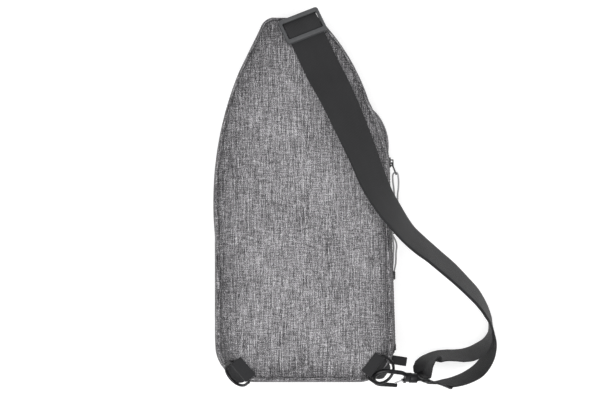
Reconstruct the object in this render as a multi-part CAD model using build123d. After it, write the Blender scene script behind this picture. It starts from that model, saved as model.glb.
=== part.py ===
from build123d import *
import math
import os

os.makedirs("parts", exist_ok=True)

# A slim sling bag lying on its front pocket. X runs across the bag, Y from its
# bottom to its tip, Z out of the back panel. Millimetres.

# Bag body
bottom_y = -193.0
tip_y = 193.5
left_x = -94.4
right_x = 94.6
corner_r = 36.0
back_z = 76.0          # back panel, where it is flat
back_bend_y = 30.0     # the back starts to slope here
tip_back_z = 46.0      # back surface at y = 200
main_front_z = 26.0    # front wall of the main compartment
tip_front_z = 35.0
front_bend_y = 105.0
wall = 2.5             # padded fabric wall
foam = 6.0
lining = 0.8

# Front pocket
valley_z = 6.0         # the front dips here, where its zip runs
pocket_zip_y = -35.0
pocket_slot = 12.0

# Main zip, a straight line down the right gusset
zip_top = Vector(88.0, 45.0, 50.0)
zip_bottom = Vector(94.6, -157.0, 50.0)
zip_tape_w = 22.0
end_tab = Vector(97.0, -171.5, 45.0)   # small grip tab below the zip's end
tape_t = 1.0
teeth_w = 5.0
teeth_h = 1.5

# Webbing
strap_w = 38.0
web_t = 1.4
layer_gap = 0.4
tab_w = 24.0
backing_t = 0.6

# Corner hardware: seam point, outward direction, ring droop in degrees
corner_slope = 48.0
right_seam = Vector(69.9, -172.1, back_z)
left_seam = Vector(-62.2, -176.3, back_z)
right_out = Vector(0.8, -0.6, 0)
left_out = Vector(-0.757, -0.654, 0)
right_bar = Vector(73.6, -174.4, 75.1)
left_bar = Vector(-66.8, -180.2, 74.0)
right_droop = 24.4
left_droop = 50.0
ring_wire_r = 1.5
ring_half_w = 14.3
ring_depth = 23.0

# Swivel hook
hook_origin = Vector(114.5, -188.8, 59.9)
hook_axis = Vector(0.955, -0.06, -0.22).normalized()
hook_roll = 44.0
hook_wire_r = 1.8
claw_r = 11.5
claw_reach = 31.0    # collar to the middle of the claw's bend
eye_reach = 11.5
eye_wire_r = 1.8

# Triglide
glide_w = 45.0
glide_l = 28.5


def save(shape, name):
    export_step(shape, f"parts/{name}.step")


def block(x0, x1, y0, y1, z0, z1):
    middle = ((x0 + x1) / 2, (y0 + y1) / 2, (z0 + z1) / 2)
    return Pos(*middle) * Box(x1 - x0, y1 - y0, z1 - z0)


def corner_arcs():
    k = corner_r * math.sqrt(0.5)
    cy = bottom_y + corner_r
    lx = left_x + corner_r
    rx = right_x - corner_r
    left = ThreePointArc((left_x, cy), (lx - k, cy - k), (lx, bottom_y))
    right = ThreePointArc((rx, bottom_y), (rx + k, cy - k), (right_x, cy))
    return [left, Line((lx, bottom_y), (rx, bottom_y)), right]


def main_outline(inset):
    edges = corner_arcs() + [
        Line((right_x, bottom_y + corner_r), (zip_top.X, zip_top.Y)),
        ThreePointArc((zip_top.X, zip_top.Y), (79.7, 76), (68, 104)),
        ThreePointArc((68, 104), (46, 153), (15, tip_y)),
        Line((15, tip_y), (-34, tip_y)),
        ThreePointArc((-34, tip_y), (-41.5, 190), (-46.5, 183)),
        Line((-46.5, 183), (-69, 136)),
        ThreePointArc((-69, 136), (-89.9, 64), (left_x, -40)),
        Line((left_x, -40), (left_x, bottom_y + corner_r)),
    ]
    face = make_face(edges)
    return offset(face, -inset) if inset else face


def pocket_outline(inset):
    edges = corner_arcs() + [
        Line((right_x, bottom_y + corner_r), (89.5, 45)),
        ThreePointArc((89.5, 45), (86.5, 78), (72, 98)),
        ThreePointArc((72, 98), (0, 107), (-80, 98)),
        ThreePointArc((-80, 98), (-91.2, 30), (left_x, -40)),
        Line((left_x, -40), (left_x, bottom_y + corner_r)),
    ]
    face = make_face(edges)
    return offset(face, -inset) if inset else face


def side_prism(edges):
    # A closed YZ profile, carried across the whole bag
    face = Plane.YZ * make_face(edges)
    return extrude(face, 130, both=True)


def below_back(drop):
    top = back_z - drop
    low = tip_back_z - drop
    slope = TangentArc((back_bend_y, top), (200, low), tangent=(1, 0))
    return side_prism([
        Line((-200, top), (back_bend_y, top)),
        slope,
        Line((200, low), (200, 0)),
        Line((200, 0), (-200, 0)),
        Line((-200, 0), (-200, top)),
    ])


def above_main_front(lift):
    low = main_front_z + lift
    high = tip_front_z + lift
    return side_prism([
        Line((-200, low), (front_bend_y, low)),
        Line((front_bend_y, low), (200, high)),
        Line((200, high), (200, 90)),
        Line((200, 90), (-200, 90)),
        Line((-200, 90), (-200, low)),
    ])


def above_pocket_front(lift):
    v = valley_z + lift
    return side_prism([
        ThreePointArc((-200, 14 + lift), (-191, 4 + lift), (-178, lift)),
        Line((-178, lift), (-108, lift)),
        Line((-108, lift), (-88, v)),
        Line((-88, v), (-24, v)),
        Line((-24, v), (-12, lift)),
        Line((-12, lift), (62, lift)),
        ThreePointArc((62, lift), (88, 4 + lift), (112, 16 + lift)),
        Line((112, 16 + lift), (112, 60)),
        Line((112, 60), (-200, 60)),
        Line((-200, 60), (-200, 14 + lift)),
    ])


def slope_plane(seam, out, drop):
    tilt = math.radians(corner_slope)
    normal = out * math.sin(tilt) + Vector(0, 0, math.cos(tilt))
    return Plane(origin=seam - normal * drop, z_dir=normal)


def beyond_slope(drop):
    right = slope_plane(right_seam, right_out, drop) * Pos(0, 0, 60) * Box(160, 160, 120)
    left = slope_plane(left_seam, left_out, drop) * Pos(0, 0, 60) * Box(160, 160, 120)
    return right + left


def main_slab(inset, drop, thick, slope_drop):
    body = extrude(main_outline(inset), 90) & below_back(drop)
    return body - below_back(drop + thick) - beyond_slope(slope_drop)


def main_ring(outer, inner, low, high, slope_drop):
    ring = extrude(main_outline(outer) - main_outline(inner), 90)
    ring = ring & below_back(high) & above_main_front(low)
    return ring - beyond_slope(slope_drop)


def main_body():
    save(main_slab(1.0, 0, wall, wall), "back_panel_outer")
    save(main_slab(4.0, wall, foam, wall), "back_panel_foam")
    save(main_slab(4.0, wall + foam, lining, wall + foam), "back_panel_lining")

    ring = main_ring(0, 3.0, wall, wall, wall)
    slot_y = zip_top.Y + 6
    foot_y = zip_bottom.Y - 6
    save(ring & block(-130, 0, -150, 220, 0, 90), "gusset_left")
    save(ring & block(0, 130, slot_y, 220, 0, 90), "gusset_upper_right")
    bottom = block(-130, 0, -220, -150, 0, 90) + block(0, 130, -220, foot_y, 0, 90)
    save(ring & bottom, "gusset_bottom")
    half = zip_tape_w / 2
    mid = zip_top.Z
    save(ring & block(0, 130, foot_y, slot_y, mid + half, 90), "zip_gusset_back_strip")
    save(ring & block(0, 130, foot_y, slot_y, 0, mid - half), "zip_gusset_front_strip")

    divider = extrude(main_outline(1.0), 90) & above_main_front(0)
    save(divider - above_main_front(wall), "divider_wall")
    cover = extrude(main_outline(4.0), 90) & above_main_front(wall)
    save(cover - above_main_front(wall + lining), "divider_lining")

    inner = main_ring(3.0, 3.8, wall + lining, wall + foam + lining, wall + foam + lining)
    save(inner - block(0, 130, foot_y, slot_y, 0, 90), "gusset_lining")


def ring_pocket(seam, out):
    # The shallow space on a sloping corner that the ring's backing fills
    near = Plane(origin=seam, x_dir=out, z_dir=(0, 0, 1)) * Pos(11.8, 0, 0) * Box(10, tab_w, 180)
    above = slope_plane(seam, out, backing_t) * Pos(0, 0, 60) * Box(160, 160, 120)
    return extrude(main_outline(3.0), 90) & near & above


def corner_patch(seam, out, side):
    # A fabric patch on the slope, with a webbing backing let into it under the ring
    body = extrude(main_outline(1.0), 90) & block(-130, 130, -220, -120, 50, 90)
    over = slope_plane(seam, out, 0) * Pos(0, 0, 60) * Box(160, 160, 120)
    body = body - over
    body = body & (slope_plane(seam, out, 1.5) * Pos(0, 0, 60) * Box(160, 160, 120))
    near = Plane(origin=seam, x_dir=out, z_dir=(0, 0, 1)) * Pos(20, 0, 0) * Box(40, 60, 90)
    pocket = ring_pocket(seam, out)
    save((body & near) - pocket, f"corner_patch_{side}")
    save(pocket - over, f"{side}_ring_backing")


def front_pocket():
    shell = extrude(pocket_outline(1.0), 60) & above_pocket_front(0)
    shell = shell - above_pocket_front(wall)
    half = pocket_slot / 2
    cut_low = pocket_zip_y - half
    cut_high = pocket_zip_y + half
    save(shell & block(-130, 130, -220, cut_low, -5, 60), "front_lower_panel")
    save(shell & block(-130, 130, cut_high, 120, -5, 60), "front_upper_panel")

    ring = extrude(pocket_outline(0) - pocket_outline(3.0), main_front_z)
    ring = ring & above_pocket_front(wall)
    notch = block(60, 130, cut_low, cut_high, -5, 13)
    save(ring - notch, "pocket_gusset")
    inner = extrude(pocket_outline(3.5), main_front_z) & above_pocket_front(wall)
    inner = inner - above_pocket_front(wall + lining)
    inner = inner - block(-130, 130, cut_low - 5, cut_high + 5, -5, 60)
    save(inner, "pocket_lining")

    tape_z = valley_z + wall
    tape = block(-90, 87.4, cut_low - 4, cut_high + 4, tape_z, tape_z + tape_t)
    save(tape, "pocket_zip_tape")
    y0 = pocket_zip_y - teeth_w / 2
    teeth = block(-84, 87, y0, y0 + teeth_w, tape_z - teeth_h, tape_z)
    save(teeth, "pocket_zip_teeth")
    stop = block(-87.4, -84.4, y0 - 1, y0 + teeth_w + 1, tape_z - 2.2, tape_z)
    save(stop, "pocket_zip_stop")


def zip_plane():
    along = (zip_bottom - zip_top).normalized()
    outward = along.cross(Vector(0, 0, -1)).normalized()
    if outward.X < 0:
        outward = outward * -1
    return Plane(origin=zip_top, x_dir=along, z_dir=outward)


def main_zip():
    length = (zip_bottom - zip_top).length
    plane = zip_plane()
    half = zip_tape_w / 2 - 0.3
    tape = plane * block(-5.5, length + 5, -half, half, -0.6, tape_t - 0.6)
    save(tape, "main_zip_tape")
    top = tape_t - 0.6
    teeth = plane * block(-4, length, -teeth_w / 2, teeth_w / 2, top, top + teeth_h)
    save(teeth, "main_zip_teeth")
    stop = block(length + 0.3, length + 3.3, -3.5, 3.5, top, top + 2.2)
    save(plane * stop, "main_zip_stop")
    tab = Pos(*end_tab) * Rot(0, 0, -9) * Box(24, 9.5, 2.8)
    save(tab - extrude(main_outline(0), 90), "zip_end_tab")


def slider_body():
    # Local frame: x along the zip, z away from the tape, y across
    plate = block(-5, 5.5, -4.2, 4.2, 1.9, 2.9)
    plate = plate - (Pos(5.5, 5, 2.4) * Rot(0, 0, 35) * Box(8, 3, 3))
    plate = plate - (Pos(5.5, -5, 2.4) * Rot(0, 0, -35) * Box(8, 3, 3))
    flanges = block(-5, 4, 2.9, 4.2, 0.3, 1.9) + block(-5, 4, -4.2, -2.9, 0.3, 1.9)
    arch = block(-3, 4.5, -1, 1, 2.9, 6) - block(-1.6, 3.1, -1.5, 1.5, 2.9, 4.9)
    return plate + flanges + arch


def puller(reach, lift):
    # A flat tab on a pin that turns inside the slider's arch at (0.75, 0, 3.9)
    pin = Pos(0.75, 0, 3.9) * Rot(90, 0, 0) * Cylinder(0.75, 6)
    cheeks = block(0, 7, 1.7, 3, 3.2, 4.6) + block(0, 7, -3, -1.7, 3.2, 4.6)
    tab = block(6, reach, -3, 3, 3.2, 4.6)
    hole = Pos(reach - 3.2, 0, 3.9) * Box(3.6, 3.9, 4)
    return Pos(0.75, 0, 3.9) * Rot(0, -lift, 0) * Pos(-0.75, 0, -3.9) * (pin + cheeks + tab - hole)


def slider_frames():
    main = zip_plane() * Pos(6, 0, tape_t - 0.6)
    flat = Plane(origin=(84.5, pocket_zip_y, valley_z + wall), x_dir=(1, 0, 0), z_dir=(0, 0, -1))
    return main, flat


def sliders():
    main, flat = slider_frames()
    save(main * slider_body(), "main_zip_slider")
    save(main * puller(14.5, 20), "main_zip_puller")
    save(flat * slider_body(), "pocket_zip_slider")
    save(flat * puller(14.5, 6), "pocket_zip_puller")


def cord_tube(points, radius):
    corners = [Vector(*p) for p in points]
    radii = []
    for a, b, c in zip(corners, corners[1:], corners[2:]):
        turn = math.radians((b - a).get_angle(c - b))
        run = min((b - a).length, (c - b).length)
        radii.append(0.45 * run / math.tan(turn / 2))
    path = FilletPolyline(*corners, radius=radii)
    start = Plane(origin=path @ 0, z_dir=path % 0)
    tube = sweep(start * Circle(radius), path=path)
    ratio = tube.volume / (math.pi * radius ** 2 * path.length)
    print("cord", round(path.length, 1), "ratio", round(ratio, 3), [round(r, 1) for r in radii])
    return tube


cord_r = 0.9
# Each pull is one cord, doubled through its puller, with both ends in a tip
main_pull_route = [
    (100.4, -5.5, 33.0), (99.6, 3, 34.6), (100.6, 11.5, 39.0), (100.4, 20.5, 45.0),
    (99.0, 28.6, 49.6), (93.9, 27.6, 49.6), (93.9, 20.5, 45.4), (95.6, 11.5, 38.8),
    (96.6, 3, 34.4), (97.6, -5.5, 32.6),
]
pocket_pull_route = [
    (98.4, -79, 1.9), (100.6, -70, 1.9), (100.2, -60, 1.7), (101.6, -50, 2.0), (98.6, -42.5, 1.8),
    (96.0, -38.6, 1.7), (95.8, -35.0, 1.5), (95.8, -35.0, 5.5), (96.2, -41.0, 5.0),
    (98.0, -50.5, 3.9), (97.4, -60, 2.9), (97.2, -70, 1.9), (96.2, -79, 1.9),
]


def pull_cords():
    save(cord_tube(main_pull_route, cord_r), "main_pull_cord")
    save(cord_tube(pocket_pull_route, cord_r), "pocket_pull_cord")
    main_tip = Pos(99.0, -10.4, 31.8) * Rot(8, 0, 0) * Box(5, 10, 3.4)
    save(main_tip, "main_pull_tip")
    save(block(94.9, 99.7, -88, -79, 0.4, 3.6), "pocket_pull_tip")


# Strap: centre points, height and lean of the width, from the tip to the hook
outer_stations = [
    (-7.2, 193.4, 50.2, 8.5), (-2.0, 182.0, 54.0, 8.5), (6.8, 163.0, 60.4, 8.5),
    (19.1, 136.2, 69.4, 8.5), (32.5, 110.4, 79.5, 18), (51.5, 67.9, 88.0, 31), (61.0, 45.9, 90.6, 37),
    (72.4, 17.7, 92.0, 42), (81.4, 1.1, 90.0, 47), (94.0, -16.6, 82.5, 52), (114.6, -40.9, 67.5, 61),
    (130.5, -53.8, 57.6, 63), (146.1, -66.8, 48.5, 64), (161.8, -80.0, 40.0, 65),
    (175.5, -93.2, 33.0, 68), (188.1, -106.5, 27.0, 71), (196.8, -119.8, 22.8, 76),
    (202.5, -133.0, 20.6, 81), (204.4, -145.0, 19.8, 87), (204.3, -155.8, 19.8, 93),
    (199.3, -169.9, 20.4, 101), (192.2, -180.5, 22.2, 103), (183.0, -188.2, 25.5, 103),
    (170.5, -193.6, 31.0, 100), (158.6, -196.2, 37.5, 97), (144.6, -197.4, 44.5, 94),
]
inner_stations = [
    (201.2, -145.0, 20.0, 88), (198.2, -153.4, 20.4, 97), (191.0, -160.5, 21.6, 104),
    (183.2, -165.1, 24.2, 106), (173.0, -167.9, 28.4, 106), (161.8, -168.1, 33.2, 104),
    (150.7, -167.6, 38.4, 102), (140.6, -168.8, 43.0, 102), (131.8, -172.2, 47.5, 102),
]


def ribbon_frames(stations):
    # Each frame: centre, width direction from the low edge to the high edge, face normal
    points = [Vector(x, y, z) for x, y, z, lean in stations]
    frames = []
    for i, (x, y, z, lean) in enumerate(stations):
        ahead = points[min(i + 1, len(points) - 1)]
        behind = points[max(i - 1, 0)]
        along = (ahead - behind).normalized()
        flat = Vector(along.Y, -along.X, 0).normalized()
        up = (Vector(0, 0, 1) - along * along.Z).normalized()
        lean = math.radians(lean)
        wide = flat * math.cos(lean) + up * math.sin(lean)
        wide = (wide - along * wide.dot(along)).normalized()
        frames.append((points[i], wide, wide.cross(along).normalized()))
    return frames


def ribbon(frames, shift):
    half_w = strap_w / 2
    half_t = web_t / 2
    wires = []
    for centre, wide, normal in frames:
        c = centre + normal * shift
        corners = [
            c - wide * half_w - normal * half_t,
            c + wide * half_w - normal * half_t,
            c + wide * half_w + normal * half_t,
            c - wide * half_w + normal * half_t,
        ]
        wires.append(Wire.make_polygon(corners, close=True))
    return Solid.make_loft(wires, ruled=True)


def hook_frame():
    flat = hook_axis.cross(Vector(0, 0, 1)).normalized()
    if flat.Y > 0:
        flat = flat * -1
    up = flat.cross(hook_axis).normalized()
    if up.Z < 0:
        up = up * -1
    turn = math.radians(hook_roll)
    across = flat * math.cos(turn) - up * math.sin(turn)
    return across, up


def strap():
    across, up = hook_frame()
    eye_bar = hook_origin + hook_axis * eye_reach
    frames = ribbon_frames(outer_stations)
    side = hook_axis.cross(up).normalized()
    if side.Y > 0:
        side = side * -1
    turn_r = eye_wire_r + 0.4 + web_t / 2
    end_out = eye_bar + side * turn_r + hook_axis * 1.0
    end_in = eye_bar - side * turn_r + hook_axis * 1.0
    facing = side if frames[-1][2].dot(side) > 0 else side * -1
    frames.append((end_out + hook_axis * 9, up, facing))
    frames.append((end_out, up, facing))
    save(ribbon(frames, 0), "strap_outer_layer")

    upper = ribbon_frames(outer_stations)[3:19]
    pitch = web_t + layer_gap
    sample = upper[0][2]
    under = -pitch if sample.Z > 0 else pitch
    hidden = [(c + n * under, w, n) for c, w, n in upper[:-2]]
    loose = ribbon_frames(inner_stations)
    tail_n = side * (1 if loose[-1][2].dot(side) > 0 else -1)
    loose.append((end_in + hook_axis * 1.5 - side * 6.5, up, tail_n))
    loose.append((end_in, up, tail_n))
    save(ribbon(hidden + loose, 0), "strap_return_layer")

    ring = Cylinder(turn_r + web_t / 2, strap_w) - Cylinder(turn_r - web_t / 2, strap_w)
    ring = ring - Pos(25 + 1.0, 0, 0) * Box(50, 50, 60)
    fold = Plane(origin=eye_bar, x_dir=hook_axis, z_dir=up) * ring
    save(fold, "strap_hook_fold")


def rod(path, radius):
    start = Plane(origin=path @ 0, z_dir=path % 0)
    return sweep(start * Circle(radius), path=path)


def d_ring(bar, out, droop, name):
    tilt = math.radians(droop)
    reach = out * math.cos(tilt) - Vector(0, 0, math.sin(tilt))
    along = Vector(-out.Y, out.X, 0)
    plane = Plane(origin=bar, x_dir=reach, z_dir=reach.cross(along))
    h = ring_half_w
    half = FilletPolyline((0, 0), (0, h), (ring_depth, h), (ring_depth, 0), radius=[2.6, h - 0.2])
    side = rod(plane * half, ring_wire_r)
    other = rod(plane * half.mirror(Plane.XZ), ring_wire_r)
    save(side + other, name)


def ring_tab(seam, bar, out, name):
    # Webbing from the diagonal seam, round the ring's bar and back under itself
    gap_r = ring_wire_r + 0.35
    out_r = gap_r + web_t
    shell = Cylinder(out_r, tab_w) - Cylinder(gap_r, tab_w)
    shell = shell & (Pos(10, 0, 0) * Box(20, 20, 60))
    plane = Plane(origin=bar, x_dir=out, z_dir=Vector(out.Y, -out.X, 0))
    fold = plane * shell
    back = (bar - seam).dot(out) + 4
    half = tab_w / 2
    flat = Plane(origin=bar, x_dir=out, z_dir=(0, 0, 1))
    upper = flat * block(-back, 0, -half, half, gap_r, out_r)
    lower = flat * block(-back, 0, -half, half, -out_r, -gap_r)
    tab = fold + upper + lower
    tab = tab - (extrude(main_outline(0), 90) & below_back(0) - beyond_slope(0))
    save(max(tab.solids(), key=lambda s: s.volume), name)


def claw(across):
    plane = Plane(origin=hook_origin, x_dir=hook_axis * -1, z_dir=(hook_axis * -1).cross(across))
    far = claw_reach + claw_r
    route = [(5, -2.5), (14, -8), (far, -claw_r), (far, claw_r), (15, claw_r + 1.5)]
    hook = FilletPolyline(*route, radius=[12, claw_r - 0.6, claw_r - 0.6])
    body = rod(plane * hook, hook_wire_r)
    neck = plane * Pos(6, -1, 0) * Box(6, 9, 4.4)
    collar = plane * Rot(0, 90, 0) * Cylinder(4.8, 7)
    lug = plane * block(7, 9.3, 1, 6, -1.8, 1.8)
    save(body + neck + collar + lug, "hook_body")
    wire = Line((10.6, 4.2), (17.6, claw_r - 1.9))
    gate = rod(plane * wire, 0.8) + plane * Pos(10.6, 4.2, 0) * Cylinder(1.0, 3.2)
    save(gate, "hook_gate")


def hook_eye(up):
    plane = Plane(origin=hook_origin, x_dir=hook_axis, z_dir=hook_axis.cross(up))
    half = strap_w / 2 + 3
    near = 5.4
    loop = FilletPolyline((near, 0), (near, half), (eye_reach, half), (eye_reach, 0), radius=2.6)
    wire = rod(plane * loop, eye_wire_r) + rod(plane * loop.mirror(Plane.XZ), eye_wire_r)
    base = plane * Pos(near, 0, 0) * Box(3.0, 12, 5)
    save(wire + base, "hook_eye")


def triglide():
    centre, wide, normal = ribbon_frames(outer_stations)[1]
    if normal.Z < 0:
        normal = normal * -1
    lift = web_t / 2 + 0.4
    origin = centre + normal * lift
    plane = Plane(origin=origin, x_dir=wide * -1, z_dir=normal)
    outer = plane * extrude(RectangleRounded(glide_w, glide_l, 3), 4)
    inner = plane * extrude(RectangleRounded(glide_w - 5.5, glide_l - 9, 1.5), 4)
    bar = plane * Pos(0, 0, 1.2) * Box(glide_w - 4, 4.5, 2.4)
    save(outer - inner + bar, "triglide_frame")
    w = strap_w / 2 - 0.2
    hump = block(-w, w, -8.6, 8.6, 2.6, 4.0)
    save(plane * hump, "triglide_webbing")


main_body()
corner_patch(right_seam, right_out, "right")
corner_patch(left_seam, left_out, "left")
front_pocket()
main_zip()
sliders()
pull_cords()
strap()
claw_across, eye_up = hook_frame()
claw(claw_across)
hook_eye(eye_up)
d_ring(right_bar, right_out, right_droop, "right_d_ring")
d_ring(left_bar, left_out, left_droop, "left_d_ring")
ring_tab(right_seam, right_bar, right_out, "right_ring_tab")
ring_tab(left_seam, left_bar, left_out, "left_ring_tab")
triglide()
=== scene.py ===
import bpy
import math
import bmesh
import numpy as np
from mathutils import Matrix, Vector, noise
from mathutils.geometry import delaunay_2d_cdt


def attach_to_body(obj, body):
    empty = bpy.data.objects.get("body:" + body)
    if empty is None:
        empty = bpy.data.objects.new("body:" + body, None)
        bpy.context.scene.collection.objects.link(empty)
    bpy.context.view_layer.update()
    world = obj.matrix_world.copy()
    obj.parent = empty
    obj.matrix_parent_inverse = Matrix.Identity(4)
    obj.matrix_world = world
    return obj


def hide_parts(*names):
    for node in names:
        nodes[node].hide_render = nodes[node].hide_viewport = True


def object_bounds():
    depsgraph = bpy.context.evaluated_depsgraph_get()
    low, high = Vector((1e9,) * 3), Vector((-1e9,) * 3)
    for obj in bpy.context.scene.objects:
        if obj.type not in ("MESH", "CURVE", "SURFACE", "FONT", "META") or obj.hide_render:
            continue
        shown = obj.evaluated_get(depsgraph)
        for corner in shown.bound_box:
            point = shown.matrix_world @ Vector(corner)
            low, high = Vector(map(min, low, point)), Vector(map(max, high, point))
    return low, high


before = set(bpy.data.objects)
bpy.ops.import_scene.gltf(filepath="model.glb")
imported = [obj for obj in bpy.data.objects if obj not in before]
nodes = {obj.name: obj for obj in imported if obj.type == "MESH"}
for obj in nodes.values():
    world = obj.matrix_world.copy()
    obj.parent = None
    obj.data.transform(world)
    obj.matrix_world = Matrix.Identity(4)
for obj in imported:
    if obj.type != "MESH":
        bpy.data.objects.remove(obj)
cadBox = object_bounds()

mm = 0.001
micron = 0.001 * mm


class Tree:
    # Makes one material, adds its nodes, and keeps the layout out of the way
    def __init__(self, name):
        self.material = bpy.data.materials.new(name)
        self.material.use_nodes = True
        self.tree = self.material.node_tree
        self.tree.nodes.clear()
        self.count = 0

    def node(self, kind, settings=None, inputs=None):
        made = self.tree.nodes.new(kind)
        made.location = (200 * (self.count % 8), -220 * (self.count // 8))
        self.count += 1
        for name, value in (settings or {}).items():
            if name == "ramp":
                self.setRamp(made.color_ramp, value)
            else:
                setattr(made, name, value)
        for name, value in (inputs or {}).items():
            self.feed(made.inputs[name], value)
        return made

    def setRamp(self, ramp, stops):
        while len(ramp.elements) < len(stops):
            ramp.elements.new(0.5)
        for element, (place, colour) in zip(ramp.elements, stops):
            element.position = place
            element.color = (*colour, 1.0)

    def feed(self, socket, value):
        if isinstance(value, Value):
            self.tree.links.new(value.socket, socket)
        elif isinstance(value, bpy.types.NodeSocket):
            self.tree.links.new(value, socket)
        else:
            socket.default_value = value

    def parts(self, vector):
        split = self.node("ShaderNodeSeparateXYZ", None, {"Vector": vector})
        return [Value(self, output) for output in split.outputs]

    def colour(self, stops, tone):
        # The colour that a tone picks from a ramp of stops
        return self.node("ShaderNodeValToRGB", {"ramp": stops}, {"Fac": tone}).outputs["Color"]


class Value:
    # One socket of numbers, so that shader maths reads as an expression
    def __init__(self, tree, socket):
        self.tree = tree
        self.socket = socket

    def math(self, operation, a, b=None):
        made = self.tree.node("ShaderNodeMath", {"operation": operation}, {0: a})
        if b is not None:
            self.tree.feed(made.inputs[1], b)
        return Value(self.tree, made.outputs[0])

    def __add__(self, other):
        return self.math("ADD", self, other)

    def __radd__(self, other):
        return self.math("ADD", other, self)

    def __sub__(self, other):
        return self.math("SUBTRACT", self, other)

    def __rsub__(self, other):
        return self.math("SUBTRACT", other, self)

    def __mul__(self, other):
        return self.math("MULTIPLY", self, other)

    def __rmul__(self, other):
        return self.math("MULTIPLY", other, self)

    def sine(self):
        return self.math("SINE", self)


def noiseValue(tree, vector, scale, detail=2.0, rough=0.5, fourth=0.0):
    made = tree.node("ShaderNodeTexNoise", {"noise_dimensions": "4D"}, {
        "Vector": vector, "W": fourth, "Scale": scale, "Detail": detail, "Roughness": rough})
    return Value(tree, made.outputs["Fac"])


def stretched(tree, vector, across, along):
    made = tree.node("ShaderNodeMapping", None, {"Vector": vector, "Scale": (across, along, 1.0)})
    return made.outputs["Vector"]


def joined(tree, x, y):
    return tree.node("ShaderNodeCombineXYZ", None, {"X": x, "Y": y}).outputs["Vector"]


def weaveMap(tree):
    return tree.node("ShaderNodeUVMap", {"uv_map": "weave"}).outputs["UV"]


def objectMap(tree):
    return tree.node("ShaderNodeTexCoord").outputs["Object"]


def finishShader(tree, colour, rough, normal, constants):
    shader = tree.node("ShaderNodeBsdfPrincipled", None, {"Base Color": colour, "Roughness": rough})
    if normal is not None:
        tree.feed(shader.inputs["Normal"], normal)
    for name, value in constants.items():
        shader.inputs[name].default_value = value
    tree.node("ShaderNodeOutputMaterial", None, {"Surface": shader.outputs[0]})
    return tree.material


def bump(tree, height, strength, distance):
    made = tree.node("ShaderNodeBump", None, {
        "Height": height, "Strength": strength, "Distance": distance})
    return made.outputs["Normal"]


# seam is the strength of the painted shade that darkens the cloth near its seams and over the side bands
heatherLook = {
    "yarn": 0.98 * mm,
    "slubLength": 17.0 * mm,
    "dark": (0.020, 0.0195, 0.021),
    "middle": (0.143, 0.139, 0.145),
    "light": (0.63, 0.62, 0.64),
    "warp": 1.45, "fine": 0.9, "weft": 1.05, "grain": 1.35, "cloud": 0.16, "seam": 0.15,
    "bump": 0.55, "deep": 400 * micron,
}


def heatherMaterial(name, shade):
    # Plain weave of slubby grey and black yarns: long streaks one way, short ones the other. Painted shade
    # darkens it by the shade argument and by a per-point attribute
    look = heatherLook
    tree = Tree(name)
    uv = weaveMap(tree)
    yarn = look["yarn"]
    slub = look["slubLength"]
    across, along = tree.parts(uv)[:2]
    shift = noiseValue(tree, stretched(tree, uv, 1 / yarn, 0.0), 0.9, 0.0, 0.5, 13.0) * 9.0
    start = noiseValue(tree, stretched(tree, uv, 0.0, 1 / yarn), 0.9, 0.0, 0.5, 17.0) * 9.0
    warpAt = joined(tree, across * (1 / yarn), along * (1 / slub) + shift)
    fineAt = joined(tree, across * (1.7 / yarn), along * (5.0 / slub) + shift)
    weftAt = joined(tree, across * (2.2 / slub) + start, along * (1.1 / yarn))
    warp = noiseValue(tree, warpAt, 1.0, 2.0, 0.6)
    fine = noiseValue(tree, fineAt, 1.0, 1.0, 0.5, 3.0)
    weft = noiseValue(tree, weftAt, 1.0, 2.0, 0.6, 7.0)
    grain = noiseValue(tree, stretched(tree, uv, 1.3 / yarn, 1.3 / yarn), 1.0, 1.0, 0.5, 11.0)
    cloud = noiseValue(tree, uv, 14.0, 2.0, 0.5, 5.0)
    # Painted shade: a per-point attribute darkens the cloth near the back's seams and over the side bands
    seam = tree.node("ShaderNodeAttribute", {"attribute_name": "seamTone"}).outputs["Fac"]
    tone = 0.5 + (warp - 0.5) * look["warp"] + (fine - 0.5) * look["fine"] + (weft - 0.5) * look["weft"]
    tone = tone + (grain - 0.5) * look["grain"] + (cloud - 0.5) * look["cloud"] + shade
    tone = tone - Value(tree, seam) * look["seam"]
    colour = tree.colour([(0.22, look["dark"]), (0.5, look["middle"]), (0.80, look["light"])], tone)
    turn = math.pi / yarn
    weave = (across * turn).sine() * (along * turn).sine()
    normal = bump(tree, weave * 0.5 + grain * 0.6 + warp * 0.4, look["bump"], look["deep"])
    return finishShader(tree, colour, 0.86 + (grain - 0.5) * 0.1, normal, {
        "Sheen Weight": 0.06, "Sheen Roughness": 0.5, "Specular IOR Level": 0.25})


pickPitch = 0.9 * mm
strandPitch = 1.1 * mm


def webbingMaterial(name, dark, light, rib):
    # Ribbed polyester webbing: ribs across the width, fine picks along the length
    tree = Tree(name)
    uv = weaveMap(tree)
    across, along = tree.parts(uv)[:2]
    ribs = (across * (2 * math.pi / rib)).sine()
    picks = (along * (2 * math.pi / pickPitch) + ribs * 0.8).sine()
    fuzz = noiseValue(tree, stretched(tree, uv, 1500.0, 1500.0), 1.0, 2.0, 0.6)
    wear = noiseValue(tree, stretched(tree, uv, 60.0, 18.0), 1.0, 2.0, 0.5, 4.0)
    tone = 0.5 + ribs * 0.10 + picks * 0.10 + (fuzz - 0.5) * 0.7 + (wear - 0.5) * 0.3
    colour = tree.colour([(0.1, dark), (0.9, light)], tone)
    normal = bump(tree, ribs * 0.5 + picks * 0.35 + fuzz * 0.4, 0.5, 300 * micron)
    return finishShader(tree, colour, 0.72 + (fuzz - 0.5) * 0.2, normal, {
        "Sheen Weight": 0.06, "Sheen Roughness": 0.45, "Specular IOR Level": 0.3})


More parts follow.
